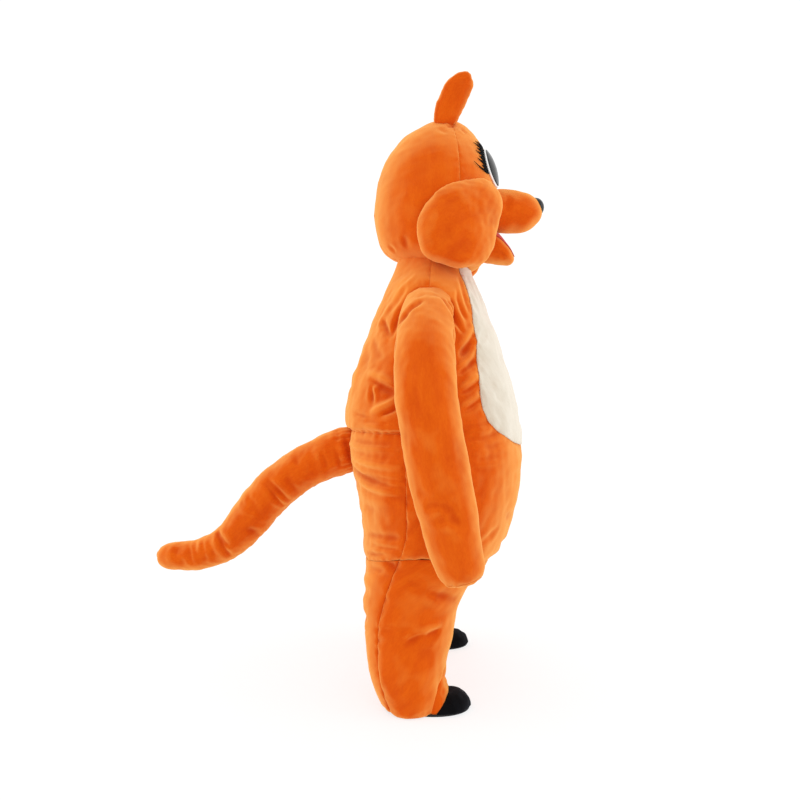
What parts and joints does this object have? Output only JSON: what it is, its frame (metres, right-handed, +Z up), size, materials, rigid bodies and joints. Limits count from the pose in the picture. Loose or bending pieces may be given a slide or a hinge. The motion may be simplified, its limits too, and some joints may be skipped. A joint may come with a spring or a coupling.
{
  "type": "kangaroo mascot costume",
  "caption": "Worn plush kangaroo mascot costume: hollow suit with cream belly, mitts, feet and stuffed tail, and a foam-backed head with cheeks, snout and lashes.",
  "frame": {"origin": "between the wearer's shoulders, on the costume's middle plane, 1.3 m above the floor", "axes": "+Z up, -Y the way the face looks, +X to the wearer's left"},
  "size_m": [1.0244, 1.3534, 1.9528],
  "materials": {
    "orange_plush": "short-pile orange plush with a soft sheen",
    "cream_plush": "short-pile cream plush",
    "red_felt": "red felt",
    "black_felt": "black felt and short-pile plush",
    "black_sole": "matt black sheet sole",
    "zip_tape": "woven zip tape",
    "black_gloss": "moulded gloss black",
    "white_gloss": "moulded white"
  },
  "bodies": {
    "root": {"back_zip": "zip_tape", "belly_panel": "cream_plush", "cheek_left": "orange_plush", "cheek_right": "orange_plush", "ear_left": "orange_plush", "ear_right": "orange_plush", "eye_lens_left": "black_gloss", "eye_lens_right": "black_gloss", "eye_plate_left": "white_gloss", "eye_plate_right": "white_gloss", "face": "orange_plush", "front_panel_left": "orange_plush", "front_panel_right": "orange_plush", "head_back_left": "orange_plush", "head_back_right": "orange_plush", "instep_left": "orange_plush", "instep_right": "orange_plush", "jaw": "orange_plush", "lashes_left": "black_felt", "lashes_right": "black_felt", "leg_back_left": "orange_plush", "leg_back_right": "orange_plush", "leg_front_left": "orange_plush", "leg_front_right": "orange_plush", "mitt_end_left": "orange_plush", "mitt_end_right": "orange_plush", "mouth_lining": "red_felt", "nose": "black_gloss", "seat_left": "orange_plush", "seat_right": "orange_plush", "sleeve_left": "orange_plush", "sleeve_right": "orange_plush", "snout": "orange_plush", "sole_left": "black_sole", "sole_right": "black_sole", "tail": "orange_plush", "toe_cap_left": "black_felt", "toe_cap_right": "black_felt", "upper_back_left": "orange_plush", "upper_back_right": "orange_plush"}
  },
  "joints": []
}
